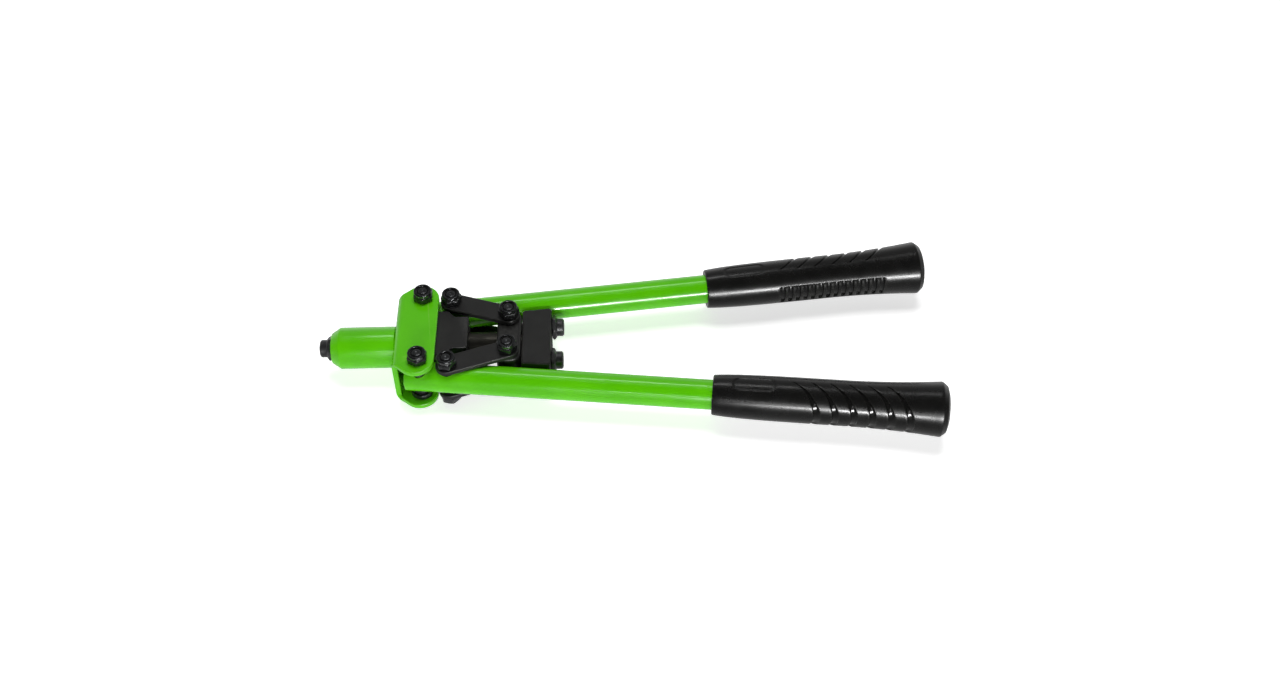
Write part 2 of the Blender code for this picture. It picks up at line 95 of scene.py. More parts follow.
def extent(node, place):
    """Lowest and highest corner of a CAD node in a local frame."""
    points = node_points(node, place)
    low = Vector(min(point[axis] for point in points) for axis in range(3))
    high = Vector(max(point[axis] for point in points) for axis in range(3))
    return low, high


def tube_heading(node):
    """Direction of a lever tube, from the centres of its two ends."""
    end_zone = 2.6
    points = node_points(node, local_frame((0, 0, 0)))
    low, high = min(point.x for point in points), max(point.x for point in points)
    front = [point for point in points if point.x < low + end_zone]
    rear = [point for point in points if point.x > high - end_zone]
    run = sum(rear, Vector()) / len(rear) - sum(front, Vector()) / len(front)
    return math.atan2(run.y, run.x)


AXIS_HEIGHT = joint_place("lever_far_pivot").z
TOOL = local_frame((joint_place("lever_far_pivot").x, 0.0, AXIS_HEIGHT))
LEVERS = {name: local_frame(joint_place(f"lever_{name}_pivot"),
                            tube_heading(f"lever_tube_{name}")) for name, _ in SIDES}


def link_frame(name):
    """Frame on a link's lever pivot, with X towards its crosshead bolt."""
    low, high = extent(f"crosshead_bolt_{name}", local_frame((0, 0, 0)))
    start = joint_place(f"links_{name}_pivot")
    run = (low + high) / 2 - start
    return local_frame(start, math.atan2(run.y, run.x))


LINKS = {name: link_frame(name) for name, _ in SIDES}


# ---------------------------------------------------------------- outlines
def arc(centre, radius, start, end, steps):
    """Points on an arc from one angle to another, in degrees."""
    angles = [math.radians(start + (end - start) * step / steps) for step in range(steps + 1)]
    return [(centre[0] + radius * math.cos(a), centre[1] + radius * math.sin(a)) for a in angles]


def circle(centre, radius, steps=ROUND, clockwise=False):
    points = arc(centre, radius, 0.0, 360.0, steps)[:-1]
    return points[::-1] if clockwise else points


def rounded(corners, steps=5, closed=True):
    """An outline of corners (x, y, radius), each rounded by an arc that fits its sides."""
    outline = []
    last = len(corners) - 1
    for index, (x, y, radius) in enumerate(corners):
        if radius == 0 or (not closed and index in (0, last)):
            outline.append((x, y))
            continue
        corner = Vector((x, y))
        before = Vector(corners[index - 1][:2]) - corner
        after = Vector(corners[(index + 1) % len(corners)][:2]) - corner
        half = before.angle(after) / 2
        cut = min(radius / math.tan(half), 0.48 * before.length, 0.48 * after.length)
        radius = cut * math.tan(half)
        before.normalize()
        after.normalize()
        centre = corner + (before + after).normalized() * (radius / math.sin(half))
        start, end = corner + before * cut - centre, corner + after * cut - centre
        first = math.degrees(math.atan2(start.y, start.x))
        sweep = (math.degrees(math.atan2(end.y, end.x)) - first + 180.0) % 360.0 - 180.0
        outline += arc(centre, radius, first, first + sweep, steps)
    return outline


def inset(loop, depths):
    """A loop moved to its left, each point by its own depth."""
    moved = []
    for index, (x, y) in enumerate(loop):
        here = Vector((x, y))
        into = (here - Vector(loop[index - 1])).normalized()
        out = (Vector(loop[(index + 1) % len(loop)]) - here).normalized()
        left = Vector((-into.y - out.y, into.x + out.x)).normalized()
        reach = depths[index] / max(0.5, left.dot(Vector((-into.y, into.x))))
        moved.append((x + left.x * reach, y + left.y * reach))
    return moved


# ---------------------------------------------------------------- meshes
def grid_faces(rows, count, first=0, wrap_rows=False):
    """Quads between rows of points that each run round a closed loop."""
    faces = []
    for row in range(rows if wrap_rows else rows - 1):
        low, high = first + row * count, first + (row + 1) % rows * count
        for step in range(count):
            after = (step + 1) % count
            faces.append((low + step, low + after, high + after, high + step))
    return faces


def turned(sections, axis="X", centre=(0.0, 0.0), closed=True, segments=ROUND):
    """Points and faces of a turned shape. A section is (along, radius), and either may be
    a function of the angle, as for a hexagon. Sections that aren't closed are capped."""
    points = []
    for along, radius in sections:
        for step in range(segments):
            angle = 2 * math.pi * step / segments
            length = along(angle) if callable(along) else along
            reach = radius(angle) if callable(radius) else radius
            across, up = reach * math.cos(angle), reach * math.sin(angle)
            if axis == "X":
                points.append((length, centre[0] + across, centre[1] + up))
            else:
                points.append((centre[0] + across, centre[1] + up, length))
    faces = grid_faces(len(sections), segments, wrap_rows=closed)
    if not closed:
        faces.append(range(segments))
        faces.append(range(len(points) - segments, len(points)))
    return points, faces


def slab(outline, low, high, edge, holes=(), hole_edge=0.3, steps=4):
    """Points and faces of a plate with rounded edges. Its outline runs counter-clockwise and
    its holes clockwise; edge is one radius, or one for each point of the outline."""
    support = 0.25
    loops = [(outline, edge if isinstance(edge, list) else [edge] * len(outline))]
    loops += [(hole, [hole_edge] * len(hole)) for hole in holes]
    turns = [math.pi / 2 * step / steps for step in range(steps + 1)]
    points, faces, top_rims, low_rims = [], [], [], []
    for loop, radii in loops:
        first, count = len(points), len(loop)
        rows = [([radius + support for radius in radii], [high] * count)]
        for turn in reversed(turns):
            rows.append(([radius * (1 - math.cos(turn)) for radius in radii],
                         [high - radius * (1 - math.sin(turn)) for radius in radii]))
        both = high + low
        rows += [(depths, [both - z for z in heights]) for depths, heights in reversed(rows)]
        for depths, heights in rows:
            points += [(x, y, z) for (x, y), z in zip(inset(loop, depths), heights)]
        faces += grid_faces(len(rows), count, first)
        top_rims.append(range(first, first + count))
        low_rims.append(range(first + (len(rows) - 1) * count, first + len(rows) * count))
    for rims in (top_rims, low_rims):
        if not holes:
            faces.append(rims[0])
            continue
        order = [index for rim in rims for index in rim]
        flat = [[Vector((*points[index][:2], 0.0)) for index in rim] for rim in rims]
        faces += [tuple(order[corner] for corner in face) for face in tessellate_polygon(flat)]
    return points, faces


def shade(mesh, sharp):
    mesh.shade_smooth()
    mesh.set_sharp_from_angle(angle=math.radians(sharp))


def start_mesh(shape):
    """A bmesh from points in a local frame and faces."""
    points, faces = shape
    build = bmesh.new()
    verts = [build.verts.new(point) for point in points]
    for face in faces:
        build.faces.new([verts[index] for index in face])
    return build


def merge_flat(build):
    """Joins the triangles of flat faces, so that no sliver spoils their shading."""
    build.normal_update()
    level = 1e-4
    flat = [edge for edge in build.edges if len(edge.link_faces) == 2
            and min(len(face.verts) for face in edge.link_faces) == 3
            and edge.link_faces[0].normal.angle(edge.link_faces[1].normal, 0.0) < level]
    bmesh.ops.dissolve_limit(build, angle_limit=10 * level, edges=flat, verts=[])


def add_mesh(name, shape, place, sharp=38.0, fold=None):
    """A mesh object from points in a local frame and faces, folded first if it is a blank."""
    build = start_mesh(shape)
    merge_flat(build)
    if fold:
        fold(build)
    bmesh.ops.recalc_face_normals(build, faces=build.faces)
    mesh = bpy.data.meshes.new(name)
    build.to_mesh(mesh)
    build.free()
    mesh.transform(place)
    shade(mesh, sharp)
    piece = bpy.data.objects.new(name, mesh)
    bpy.context.scene.collection.objects.link(piece)
    return piece


def combine(piece, shape, place, operation, sharp=38.0):
    """Cuts a shape out of a piece or joins it on."""
    tool = add_mesh("tool", shape, place)
    change = piece.modifiers.new(operation.lower(), "BOOLEAN")
    change.operation = operation
    change.solver = "EXACT"
    change.object = tool
    bpy.context.view_layer.update()
    evaluated = piece.evaluated_get(bpy.context.evaluated_depsgraph_get())
    result = bpy.data.meshes.new_from_object(evaluated)
    piece.modifiers.remove(change)
    piece.data = result
    shade(result, sharp)
    bpy.data.objects.remove(tool, do_unlink=True)


def drill(piece, place, radius, low, high, axis="Z", centre=(0.0, 0.0)):
    hole = turned([(low, radius), (high, radius)], axis, centre, closed=False)
    combine(piece, hole, place, "DIFFERENCE")


def finish_piece(piece, node, body, slot):
    """Puts a piece on its body with its material, in the place of a CAD node."""
    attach(piece, body)
    if node:
        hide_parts(node)
    piece.data.materials.clear()
    piece.data.materials.append(LOOKS[slot])


# ---------------------------------------------------------------- material nodes
def new_look(name):
    """A material with its shader, and the coordinates that its patterns are laid out in."""
    material = bpy.data.materials.new(name)
    material.use_nodes = True
    tree = material.node_tree
    coordinates = tree.nodes.new("ShaderNodeTexCoord").outputs["Object"]
    return material, tree, tree.nodes["Principled BSDF"], coordinates


def noise(tree, coordinates, size, detail=2.0, stretch=(1.0, 1.0, 1.0)):
    """A noise value whose blotches are about size millimetres across."""
    mapping = tree.nodes.new("ShaderNodeMapping")
    mapping.inputs["Scale"].default_value = stretch
    tree.links.new(coordinates, mapping.inputs["Vector"])
    texture = tree.nodes.new("ShaderNodeTexNoise")
    texture.inputs["Scale"].default_value = 1.0 / (size * MM)
    texture.inputs["Detail"].default_value = detail
    tree.links.new(mapping.outputs["Vector"], texture.inputs["Vector"])
    return texture.outputs["Fac"]


def lathe_marks(tree, coordinates, pitch):
    """Fine turning marks, as rings about the pulling axis."""
    wave = tree.nodes.new("ShaderNodeTexWave")
    wave.bands_direction = "X"
    wave.inputs["Scale"].default_value = math.pi / (10.0 * pitch * MM)
    wave.inputs["Distortion"].default_value = 1.5
    wave.inputs["Detail"].default_value = 2.0
    tree.links.new(coordinates, wave.inputs["Vector"])
    return wave.outputs["Fac"]


def edges(tree, start, end):
    """0 on flat surfaces, rising to 1 on outside edges."""
    geometry = tree.nodes.new("ShaderNodeNewGeometry")
    return spread(tree, geometry.outputs["Pointiness"], (0.0, 1.0), (start, end))


def spread(tree, value, onto, source=(0.3, 0.7)):
    """A value taken from one range onto another."""
    node = tree.nodes.new("ShaderNodeMapRange")
    node.inputs["From Min"].default_value, node.inputs["From Max"].default_value = source
    node.inputs["To Min"].default_value, node.inputs["To Max"].default_value = onto
    tree.links.new(value, node.inputs["Value"])
    return node.outputs["Result"]


def multiply(tree, one, other):
    node = tree.nodes.new("ShaderNodeMath")
    node.operation = "MULTIPLY"
    tree.links.new(one, node.inputs[0])
    tree.links.new(other, node.inputs[1])
    return node.outputs["Value"]


def blend_colours(tree, value, one, other):
    """A colour between two, by a value from 0 to 1. Either may be another node's output."""
    node = tree.nodes.new("ShaderNodeMix")
    node.data_type = "RGBA"
    tree.links.new(value, node.inputs["Factor"])
    for name, colour in (("A", one), ("B", other)):
        socket = next(s for s in node.inputs if s.name == name and s.type == "RGBA")
        if isinstance(colour, tuple):
            socket.default_value = (*colour, 1.0)
        else:
            tree.links.new(colour, socket)
    return next(s for s in node.outputs if s.type == "RGBA")


def bump(tree, shader, layers):
    """Stacks height layers (value, depth in millimetres) on a shader's normal."""
    normal = None
    for value, depth in layers:
        node = tree.nodes.new("ShaderNodeBump")
        node.inputs["Strength"].default_value = 1.0
        node.inputs["Distance"].default_value = depth * MM
        tree.links.new(value, node.inputs["Height"])
        if normal:
            tree.links.new(normal, node.inputs["Normal"])
        normal = node.outputs["Normal"]
    tree.links.new(normal, shader.inputs["Normal"])
    return normal


# ---------------------------------------------------------------- materials
def green_paint():
    """Glossy green enamel: slight orange peel, uneven depth, thinner on edges, where a paler green
    paints a highlight along them.
    """
    material, tree, shader, where = new_look("green_paint")
    clouds = spread(tree, noise(tree, where, 22.0, 3.0), (0.0, 1.0))
    body = blend_colours(tree, clouds, (0.088, 0.500, 0.0012), (0.106, 0.550, 0.0022))
    # Edges are lifted towards a pale green: a painted edge highlight over paint that runs a little
    # thinner there.
    edge_wear_and_highlight = multiply(tree, edges(tree, 0.51, 0.60), spread(tree, noise(tree, where, 3.0), (0.2, 0.8)))
    colour = blend_colours(tree, edge_wear_and_highlight, body, (0.19, 0.56, 0.040))
    tree.links.new(colour, shader.inputs["Base Color"])
    smears = spread(tree, noise(tree, where, 9.0, 4.0), (0.17, 0.27))
    tree.links.new(smears, shader.inputs["Roughness"])
    shader.inputs["Specular IOR Level"].default_value = 0.45
    shader.inputs["Coat Weight"].default_value = 0.35
    shader.inputs["Coat Roughness"].default_value = 0.08
    peel = noise(tree, where, 1.6, 1.0)
    normal = bump(tree, shader, [(peel, 0.006), (noise(tree, where, 0.25, 2.0), 0.0012)])
    tree.links.new(normal, shader.inputs["Coat Normal"])
    return material


def black_paint():
    """Satin black powder coat with a fine grain, rubbed a little paler on edges."""
    material, tree, shader, where = new_look("black_paint")
    clouds = spread(tree, noise(tree, where, 8.0, 4.0), (0.0, 1.0))
    body = blend_colours(tree, clouds, (0.0085, 0.0085, 0.0082), (0.0125, 0.0125, 0.0118))
    edge_wear_and_highlight = multiply(tree, edges(tree, 0.51, 0.60), spread(tree, noise(tree, where, 1.5), (0.1, 0.9)))
    colour = blend_colours(tree, edge_wear_and_highlight, body, (0.05, 0.05, 0.047))
    tree.links.new(colour, shader.inputs["Base Color"])
    tree.links.new(spread(tree, noise(tree, where, 5.0, 4.0), (0.36, 0.48)),
                   shader.inputs["Roughness"])
    shader.inputs["Specular IOR Level"].default_value = 0.42
    bump(tree, shader, [(noise(tree, where, 0.45, 2.0), 0.010), (noise(tree, where, 2.4, 1.0), 0.008)])
    return material


def black_oxide():
    """Blackened fasteners: dark metal under oil, with handling marks on corners."""
    material, tree, shader, where = new_look("black_oxide")
    clouds = spread(tree, noise(tree, where, 2.5, 4.0), (0.0, 1.0))
    body = blend_colours(tree, clouds, (0.034, 0.036, 0.038), (0.060, 0.062, 0.064))
    edge_wear_and_highlight = multiply(tree, edges(tree, 0.51, 0.62), spread(tree, noise(tree, where, 0.8), (0.0, 1.0)))
    colour = blend_colours(tree, edge_wear_and_highlight, body, (0.24, 0.24, 0.24))
    tree.links.new(colour, shader.inputs["Base Color"])
    tree.links.new(spread(tree, noise(tree, where, 1.8, 4.0), (0.13, 0.22)),
                   shader.inputs["Roughness"])
    shader.inputs["Metallic"].default_value = 0.9
    shader.inputs["Specular IOR Level"].default_value = 0.6
    bump(tree, shader, [(noise(tree, where, 0.5, 2.0), 0.0015)])
    return material


def nose_steel():
    """Phosphated turned steel of the nosepieces."""
    material, tree, shader, where = new_look("nose_steel")
    clouds = spread(tree, noise(tree, where, 2.2, 4.0), (0.0, 1.0))
    body = blend_colours(tree, clouds, (0.060, 0.060, 0.062), (0.100, 0.100, 0.102))
    edge_wear_and_highlight = multiply(tree, edges(tree, 0.51, 0.62), spread(tree, noise(tree, where, 0.9), (0.1, 1.0)))
    colour = blend_colours(tree, edge_wear_and_highlight, body, (0.16, 0.16, 0.16))
    tree.links.new(colour, shader.inputs["Base Color"])
    tree.links.new(spread(tree, noise(tree, where, 1.2, 4.0), (0.28, 0.44)),
                   shader.inputs["Roughness"])
    shader.inputs["Metallic"].default_value = 0.8
    bump(tree, shader, [(lathe_marks(tree, where, 0.22), 0.004), (noise(tree, where, 0.3), 0.004)])
    return material


def oiled_steel():
    """The pull tube: dark ground steel under a film of oil."""
    material, tree, shader, where = new_look("oiled_steel")
    film = spread(tree, noise(tree, where, 7.0, 4.0, (0.5, 1.0, 1.0)), (0.0, 1.0))
    colour = blend_colours(tree, film, (0.030, 0.029, 0.024), (0.062, 0.059, 0.048))
    tree.links.new(colour, shader.inputs["Base Color"])
    tree.links.new(spread(tree, noise(tree, where, 3.0, 4.0), (0.30, 0.46)),
                   shader.inputs["Roughness"])
    shader.inputs["Metallic"].default_value = 0.75
    bump(tree, shader, [(lathe_marks(tree, where, 0.30), 0.004), (noise(tree, where, 0.4), 0.003)])
    return material


def grip_rubber():
    """Moulded black rubber: fine grain, dulled by hands except down in the finger scoops."""
    material, tree, shader, where = new_look("grip_rubber")
    clouds = spread(tree, noise(tree, where, 14.0, 4.0), (0.0, 1.0))
    body = blend_colours(tree, clouds, (0.0050, 0.0050, 0.0048), (0.0080, 0.0079, 0.0075))
    dust = multiply(tree, edges(tree, 0.505, 0.60), spread(tree, noise(tree, where, 2.0), (0.0, 0.8)))
    colour = blend_colours(tree, dust, body, (0.036, 0.036, 0.033))
    tree.links.new(colour, shader.inputs["Base Color"])
    groove = tree.nodes.new("ShaderNodeAttribute")
    groove.attribute_name = GROOVE
    unworn = spread(tree, groove.outputs["Fac"], (1.0, 0.5), (0.3, 1.0))
    handled = spread(tree, noise(tree, where, 10.0, 5.0), (0.22, 0.30))
    tree.links.new(multiply(tree, handled, unworn), shader.inputs["Roughness"])
    shader.inputs["Specular IOR Level"].default_value = 0.4
    bump(tree, shader, [(noise(tree, where, 0.30, 2.0), 0.003), (noise(tree, where, 3.5, 2.0), 0.004)])
    return material


def bright_steel():
    """Ground steel of the jaws and the other pieces hidden in the barrel."""
    material, tree, shader, where = new_look("bright_steel")
    clouds = spread(tree, noise(tree, where, 3.0, 4.0), (0.0, 1.0))
    colour = blend_colours(tree, clouds, (0.46, 0.46, 0.47), (0.60, 0.60, 0.60))
    tree.links.new(colour, shader.inputs["Base Color"])
    tree.links.new(spread(tree, noise(tree, where, 1.5, 4.0), (0.22, 0.38)),
                   shader.inputs["Roughness"])
    shader.inputs["Metallic"].default_value = 1.0
    bump(tree, shader, [(lathe_marks(tree, where, 0.25), 0.003)])
    return material


LOOKS = {make.__name__: make() for make in (
    green_paint, black_paint, black_oxide, nose_steel, oiled_steel, grip_rubber, bright_steel)}


# ---------------------------------------------------------------- fasteners
HEX_CORNER = 0.985            # how far a hexagon's turned corners keep of their full radius


def hexagon(flats):
    """Radius of a hexagon of a width across flats, as a function of the angle."""
    half = flats / 2
    corner = half / math.cos(math.pi / 6) * HEX_CORNER

    def radius(angle):
        off_flat = (angle + math.pi / 6) % (math.pi / 3) - math.pi / 6
        return min(half / math.cos(off_flat), corner)
    return radius


def hex_chamfer(flats, face_radius, face, inward, slope=math.tan(math.pi / 6)):
    """Sections where a 30 degree cone trims a hexagon: the face's circle, the curved edge
    and a point just past it. inward is +1 if the hexagon lies above the face, else -1."""
    radius = hexagon(flats)
    soften = 0.12

    def edge(angle):
        return face + inward * (radius(angle) - face_radius) * slope

    def past(angle):
        return edge(angle) + inward * 1.6 * soften

    def before(angle):
        return edge(angle) - inward * soften * slope

    def narrow(angle):
        return radius(angle) - soften
    return [(face, face_radius - soften), (face + inward * 0.02, face_radius),
            (before, narrow), (past, radius)]


def lock_nut(node, place, body, base, centre):
    """A hexagon lock nut whose round collar is crimped over a nylon ring."""
    seat, lip = 4.0, 3.45
    hexagon_top, collar, top = base + 3.8, 4.85, base + 5.78
    under = hex_chamfer(FLATS, FLATS / 2 - 0.15, base, 1)
    above = hex_chamfer(FLATS, FLATS / 2 - 0.05, hexagon_top, -1)
    crown = rounded([(hexagon_top, collar - 0.02, 0), (top, collar, 0.6), (top, lip, 0.25),
                     (base + 5.1, lip + 0.05, 0.1), (base + 5.1, seat, 0)], 6, closed=False)
    inside = [(base + 3.6, seat), (base + 3.6, BOLT_HOLE), (base + 0.3, BOLT_HOLE),
              (base, BOLT_HOLE + 0.3)]
    nut = add_mesh(f"{node}_finish", turned(under + above[::-1] + crown + inside, "Z", centre),
                   place, TURNED_SHARP)
    finish_piece(nut, node, body, "black_oxide")
    ring = rounded([(base + 3.75, 3.08, 0.1), (base + 3.75, seat - 0.06, 0.1),
                    (base + 5.02, seat - 0.06, 0.1), (base + 5.02, 3.08, 0.25)], 3)
    insert = add_mesh(f"{node}_insert", turned(ring, "Z", centre), place)
    finish_piece(insert, None, body, "black_paint")


def hex_bolt(node, place, body, head_top, end, centre):
    """A hexagon bolt, head down, with a washer face and a chamfered thread end."""
    shank, low = 3.0, head_top - BOLT_HEAD
    face = hex_chamfer(FLATS, FLATS / 2 - 0.25, low, 1)
    thread_start, pitch, groove = end - 9.0, 1.0, 0.36
    sections = [(low + 0.25, 1.6), (low + 0.05, 2.6), (low, 3.2)] + face
    sections += [(head_top - 0.25, hexagon(FLATS)), (head_top - 0.24, 4.75), (head_top, 4.7),
                 (head_top, shank + 0.35), (head_top + 0.35, shank), (thread_start, shank)]
    crest = thread_start
    while crest + pitch < end - 0.7:
        sections += [(crest + 0.5 * pitch, shank - groove), (crest + 0.9 * pitch, shank),
                     (crest + pitch, shank)]
        crest += pitch
    sections += [(end - 0.65, shank), (end - 0.08, shank - 0.55), (end, shank - 0.7),
                 (end, 0.6), (end - 0.15, 0.2)]
    bolt = add_mesh(f"{node}_finish", turned(sections, "Z", centre, closed=False, segments=72),
                    place, TURNED_SHARP)
    finish_piece(bolt, node, body, "black_oxide")


def fasten(stem, name, place, body, centre=(0.0, 0.0)):
    """The finished bolt and nut in the places of a CAD pair."""
    bolt, nut = f"{stem}_bolt_{name}", f"{stem}_nut_{name}"
    low, high = extent(bolt, place)
    hex_bolt(bolt, place, body, low.z + BOLT_HEAD, high.z, centre)
    lock_nut(nut, place, body, extent(nut, place)[0].z, centre)


# ---------------------------------------------------------------- head
def nosepiece(node, body, flip, centre=(0.0, 0.0)):
    """A nosepiece: round tip, bevelled hexagon flange, threaded shank and tail."""
    low, high = extent(node, TOOL)
    tip, heading = (high.x, -1) if flip else (low.x, 1)
    flats, bore, thread, pitch = 12.0, 1.7, 4.7, 1.0
    radius = hexagon(flats)

    def bevel(angle):
        return 4.0 + (radius(angle) - 5.35) * 0.6

    def trimmed(angle):
        return 6.25 - (radius(angle) - 5.85) * 0.5

    def narrow(angle):
        return radius(angle) - 0.12

    front = rounded([(1.4, bore, 0), (0.35, bore + 0.05, 0.1), (0.0, bore + 0.7, 0.2),
                     (0.0, 4.05, 0.35), (0.75, 4.8, 0.6), (3.75, 4.78, 0.2), (3.9, 5.35, 0)],
                    4, closed=False)
    sections = front + [
        (lambda angle: bevel(angle) - 0.1, narrow), (lambda angle: bevel(angle) + 0.15, radius),
        (lambda angle: trimmed(angle) - 0.15, radius), (trimmed, narrow),
        (6.24, 5.8), (6.25, 5.6), (6.25, 3.9), (7.0, 3.9)]
    crest = 7.0
    while crest + pitch < 10.6:
        sections += [(crest + 0.25 * pitch, thread), (crest + 0.45 * pitch, thread),
                     (crest + 0.95 * pitch, thread - 0.5)]
        crest += pitch
    sections += [(10.7, 3.4), (12.9, 3.4), (13.4, 2.9), (13.4, bore + 0.2), (13.2, bore)]
    placed = [((lambda angle, a=along: tip + heading * (a(angle) if callable(a) else a)), reach)
              for along, reach in sections]
    piece = add_mesh(f"{node}_finish", turned(placed, "X", centre), TOOL, TURNED_SHARP)
    finish_piece(piece, node, body, "nose_steel")


def barrel():
    """The barrel: a coned front, a long cylinder and a spigot through the yoke."""
    low, high = extent("barrel", TOOL)
    radius, front_radius, cone_end = high.z, 8.2, low.x + 4.65
    shoulder, rear = -14.3, high.x
    outer = rounded([(low.x, NOSE_THREAD, 0.3), (low.x, front_radius, 0.5), (cone_end, radius, 1.6),
                     (shoulder, radius, 0.5), (shoulder, 8.8, 0.2), (rear, 8.8, 0.5),
                     (rear, PULL_TUBE_HOLE, 0.3), (-15.6, PULL_TUBE_HOLE, 0),
                     (-15.6, 8.7, 0.3), (-43.4, 8.7, 0.5),
                     (-45.0, 7.4, 0.2), (-45.0, NOSE_THREAD, 0.2)], 6)
    piece = add_mesh("barrel_finish", turned(outer, segments=128), TOOL, TURNED_SHARP)
    finish_piece(piece, "barrel", "head", "green_paint")


def bend_yoke(web_x, flat, radius, build, stations=7):
    """Folds a flat blank, laid out from its middle, into the yoke's U."""
    arc_length = radius * math.pi / 2
    for step in range(stations + 1):
        for side in (-1, 1):
            where = side * (flat + arc_length * step / stations)
            geometry = build.verts[:] + build.edges[:] + build.faces[:]
            bmesh.ops.bisect_plane(build, geom=geometry, dist=1e-5,
                                   plane_co=(where, 0, 0), plane_no=(1, 0, 0))
    for vert in build.verts:
        run, across, depth = vert.co
        side, run = math.copysign(1.0, run), abs(run)
        if run <= flat:
            x, z = web_x - depth, run
        elif run <= flat + arc_length:
            turn = (run - flat) / radius
            x = web_x + radius - (radius + depth) * math.cos(turn)
            z = flat + (radius + depth) * math.sin(turn)
        else:
            x, z = web_x + radius + run - flat - arc_length, flat + radius + depth
        vert.co = (x, across, side * z)


def yoke():
    """The yoke: one sheet with rounded ends and softened edges, folded into a U."""
    low, high = extent("yoke", TOOL)
    sheet, bend, web_half = 3.0, 2.5, 24.6
    web_x, middle = low.x + sheet / 2, high.z - sheet / 2
    flat = middle - bend
    end_radius, cut = 9.5, 130.0
    unfold = flat + bend * math.pi / 2 - (web_x + bend)
    end_x, end_y = high.x - end_radius, high.y - end_radius
    end = arc((end_x + unfold, end_y), end_radius, 0.0, cut, 26)
    corner_x, corner_y = end[-1]
    drop = (corner_y - web_half) / math.tan(math.radians(cut - 90.0))
    shoulder = rounded([(corner_x, corner_y, 0), (corner_x - drop, web_half, 2.5), (0, web_half, 0)],
                       6, closed=False)[1:]
    quarter = end + shoulder[:-1]
    upper = quarter + [(-x, y) for x, y in reversed(quarter)]
    outline = upper + [(x, -y) for x, y in reversed(upper)]
    pivots = [circle((side * unfold, along * joint_place("lever_far_pivot").y), BOLT_HOLE, 64, True)
              for side in (-1, 1) for along in (-1, 1)]
    spigot = circle((0, 0), SPIGOT_HOLE, ROUND, True)
    blank = slab(outline, -sheet / 2, sheet / 2, 0.6, pivots + [spigot], 0.25)
    piece = add_mesh("yoke_finish", blank, TOOL, fold=partial(bend_yoke, web_x, flat, bend))
    finish_piece(piece, "yoke", "head", "green_paint")


def guide_block():
    """The T-shaped block that guides the pull tube: a waisted core between two flanges."""
    low, high = extent("guide_block", TOOL)
    front, end = low.x, high.x
    head, waist, tail = high.y, 10.2, 11.3
    core = rounded([(front, -waist, 0.8), (13, -waist, 0.8), (14, -tail, 0.8), (end, -tail, 1.3),
                    (end, tail, 1.3), (14, tail, 0.8), (13, waist, 0.8), (front, waist, 0.8)], 4)
    clear = front + 1.5
    plate = rounded([(clear, -head, 1.0), (13.5, -head, 1.6), (17.2, -tail, 1.6), (end, -tail, 1.6),
                     (end, tail, 1.6), (17.2, tail, 1.6), (13.5, head, 1.6), (clear, head, 1.0)], 5)
    under, top = 8.3, high.z
    piece = add_mesh("guide_block_finish", slab(core, -under - 0.4, under + 0.4, 0.3), TOOL)
    for bottom, above in ((under, top), (-top, -under)):
        combine(piece, slab(plate, bottom, above, 0.45), TOOL, "UNION")
    drill(piece, TOOL, SPIGOT_HOLE, front - 2, -1.7, "X")
    drill(piece, TOOL, PULL_TUBE_HOLE, -3.0, end + 2, "X")
    finish_piece(piece, "guide_block", "head", "black_paint")


def head():
    barrel()
    yoke()
    guide_block()
    nosepiece("nosepiece_fitted", "head", False)
    for name, side in SIDES:
        centre = (0.0, side * joint_place("lever_far_pivot").y)
        fasten("lever_pivot", name, TOOL, "head", centre)


# ---------------------------------------------------------------- levers
def lever_tube(name):
    """A painted tube with a softened mouth, bored across for its two bushes."""
    node, place = f"lever_tube_{name}", LEVERS[name]
    low, high = extent(node, place)
    radius, wall, centre = (high.z - low.z) / 2, 1.8, (low.y + high.y) / 2
    link = (joint_place(f"links_{name}_pivot") - joint_place(f"lever_{name}_pivot")).length
    along = math.sqrt(link ** 2 - centre ** 2)
    beside = BUSH_HOLE + 0.6
    stations = [-beside, beside, along - beside, along + beside, 40, 90, 140, 200]
    mouth = rounded([(stations[0], radius - wall, 0), (low.x, radius - wall, 0.35),
                     (low.x, radius, 0.7), (stations[0], radius, 0)], 5, closed=False)
    outer = [(station, radius) for station in stations[1:]] + [(high.x, radius)]
    inner = [(station, radius - wall) for station in [high.x] + stations[:0:-1]]
    piece = add_mesh(f"{node}_finish", turned(mouth + outer + inner, "X", (centre, 0.0)), place)
    for hole in ((0.0, 0.0), (along, centre)):
        drill(piece, place, BUSH_HOLE, -radius - 2, radius + 2, "Z", hole)
    finish_piece(piece, node, f"lever_{name}", "green_paint")
    for level in ("top", "bottom"):
        spacer(f"spacer_{name}_{level}", place, f"lever_{name}")


def spacer(node, place, body):
    low, high = extent(node, place)
    ring = rounded([(low.z, BUSH_HOLE, 0.2), (low.z, high.x, 0.4), (high.z, high.x, 0.4),
                    (high.z, BUSH_HOLE, 0.2)], 4)
    piece = add_mesh(f"{node}_finish", turned(ring, "Z"), place)
    finish_piece(piece, node, body, "black_oxide")


# ---------------------------------------------------------------- grips
SCOOPS, SCOOP_PITCH, SCOOP_START, SCOOP_WIDTH, SCOOP_DEPTH = 6, 9.7, 56.4, 3.5, 1.3
SCOOP_TIP = 101.0             # degrees from the outer line at which a scoop runs out
SCOOP_SWEEP = 14.2            # how far its tips lie ahead of its middle
SLOTS, SLOT_PITCH, SLOT_START, SLOT_HALF, SLOT_DEPTH, SLOT_TIP = 14, 4.3, 42.0, 1.3, 1.25, 30.0
PANEL_START, PANEL_END, PANEL_HALF, PANEL_DEPTH = 10.4, 33.0, 4.2, 0.45


